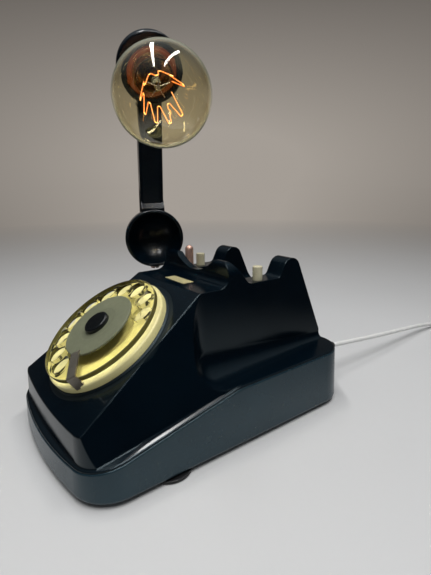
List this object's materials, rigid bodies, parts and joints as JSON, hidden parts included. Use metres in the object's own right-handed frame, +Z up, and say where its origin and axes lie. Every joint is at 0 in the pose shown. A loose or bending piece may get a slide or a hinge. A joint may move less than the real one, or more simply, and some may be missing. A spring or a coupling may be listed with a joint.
{
  "type": "dial telephone table lamp",
  "caption": "Wedge-shaped dial telephone with a turning finger wheel and cradle plungers, whose handset stands on a bent tube and holds a globe bulb.",
  "frame": {"origin": "middle of the standing object's box, cord left out, on the table under the feet", "axes": "+Z up, front and dial towards -Y, the handset stands on the -X side"},
  "size_m": [0.1927, 0.5963, 0.276],
  "materials": {
    "housing_black": "satin",
    "tray_black": "satin",
    "cream": "aged satin",
    "clear_wheel": "clear, yellowed",
    "grey_green": "matt",
    "stop_steel": "brushed",
    "steel": "plain",
    "brass": "plain",
    "copper": "bare copper, lightly polished",
    "inner_plastic": "matt",
    "bulb_glass": "amber tint",
    "filament": "glowing wire",
    "rubber": "matt",
    "cord_white": "satin flex",
    "tie": "matt"
  },
  "bodies": {
    "telephone": {"base_tray": "tray_black", "rubber_feet": "rubber", "base_screws": "steel", "housing": "housing_black", "name_card": "cream", "number_plate": "cream", "dial_frame": "steel", "finger_stop": "stop_steel", "hook_switch": "inner_plastic", "ringer_bracket": "steel", "gong_left": "brass", "gong_right": "brass", "ringer_coils": "inner_plastic", "terminal_block": "inner_plastic", "copper_tube": "copper", "tube_locknut": "brass", "cup_nut": "copper", "mouth_cup": "housing_black", "handle": "housing_black", "ear_cup": "housing_black", "lampholder": "inner_plastic", "bulb_cap": "brass", "bulb_glass": "bulb_glass", "bulb_stem": "bulb_glass", "filament": "filament", "filament_supports": "steel", "cord_free": "cord_white", "cord_coil": "cord_white", "cord_tail": "cord_white", "coil_tie": "tie", "plug": "cord_white", "plug_pins": "steel", "strain_relief": "rubber"},
    "dial": {"finger_wheel": "clear_wheel", "centre_disc": "grey_green", "hub_cap": "housing_black", "dial_shaft": "steel", "dial_gear": "brass"},
    "pulse_train": {"pulse_pinion": "steel", "pulse_cam": "inner_plastic"},
    "hook": {"plunger_left": "cream", "plunger_right": "cream", "hook_bail": "steel"},
    "ringer_volume": {"volume_wheel": "inner_plastic", "volume_cam": "inner_plastic"},
    "ringer_clapper": {"clapper": "steel"}
  },
  "joints": [
    {"name": "dial_turn", "type": "hinge", "parent": "telephone", "child": "dial", "pos_m": [0.00426, -0.05851, 0.07066], "axis": [0, 0.5756, -0.8177], "range_deg": [0, 320], "stiffness_Nm_per_rad": 0.02, "springref_deg": -57.3},
    {"name": "pulse_spin", "type": "hinge", "parent": "telephone", "child": "pulse_train", "pos_m": [0.03126, -0.05851, 0.07066], "axis": [0, 0.5756, -0.8177], "range_deg": [-1280, 0]},
    {"name": "hook_press", "type": "slide", "parent": "telephone", "child": "hook", "axis": [0, 0, -1], "range_m": [0, 0.006], "stiffness_N_per_m": 250, "springref_m": -0.004},
    {"name": "volume_turn", "type": "hinge", "parent": "telephone", "child": "ringer_volume", "pos_m": [0.06346, -0.05099, 0.0013], "axis": [0, 0, 1], "range_deg": [0, 150]},
    {"name": "clapper_swing", "type": "hinge", "parent": "telephone", "child": "ringer_clapper", "pos_m": [0.00426, 0.04001, 0.0155], "axis": [0, 0, 1], "range_deg": [-3, 3], "stiffness_Nm_per_rad": 0.002}
  ],
  "couplings": [
    {"joint": "pulse_spin", "follows": "dial_turn", "ratio": -4}
  ]
}
